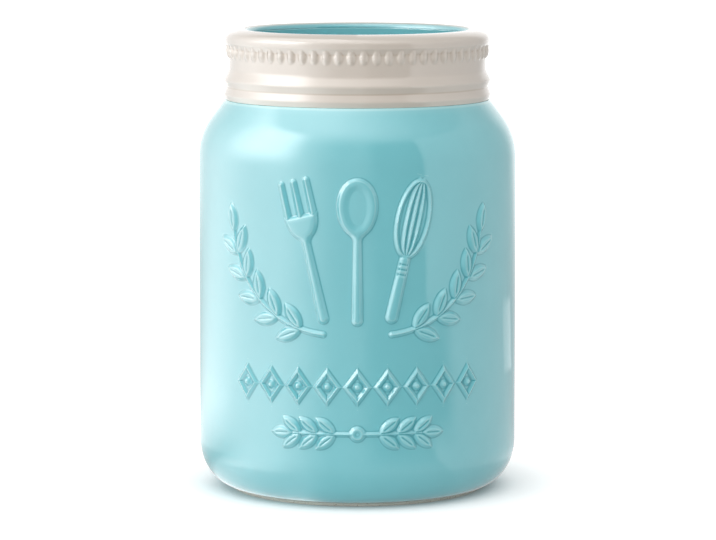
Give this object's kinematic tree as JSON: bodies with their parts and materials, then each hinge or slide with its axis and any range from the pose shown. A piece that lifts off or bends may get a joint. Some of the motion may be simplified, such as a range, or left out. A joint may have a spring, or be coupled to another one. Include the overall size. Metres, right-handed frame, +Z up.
{
  "type": "utensil crock",
  "caption": "Glazed ceramic utensil crock in the shape of a wide-mouthed jar, with a ridged and beaded cream band, a bare foot and kitchen reliefs on its front.",
  "frame": {"origin": "on the surface that the crock stands on, on the jar's axis", "axes": "+Z up along the jar's axis, -Y towards the front with the reliefs"},
  "size_m": [0.1226, 0.1239, 0.1778],
  "materials": {
    "aqua_glaze": "gloss glaze",
    "cream_glaze": "gloss glaze",
    "bare_clay": "unglazed, matte"
  },
  "bodies": {
    "root": {"jar_body": "aqua_glaze", "screw_band": "cream_glaze", "foot_ring": "bare_clay", "fork_relief": "aqua_glaze", "spoon_relief": "aqua_glaze", "whisk_relief": "aqua_glaze", "left_branch": "aqua_glaze", "right_branch": "aqua_glaze", "lozenge_border": "aqua_glaze", "leaf_garland": "aqua_glaze"}
  },
  "joints": []
}
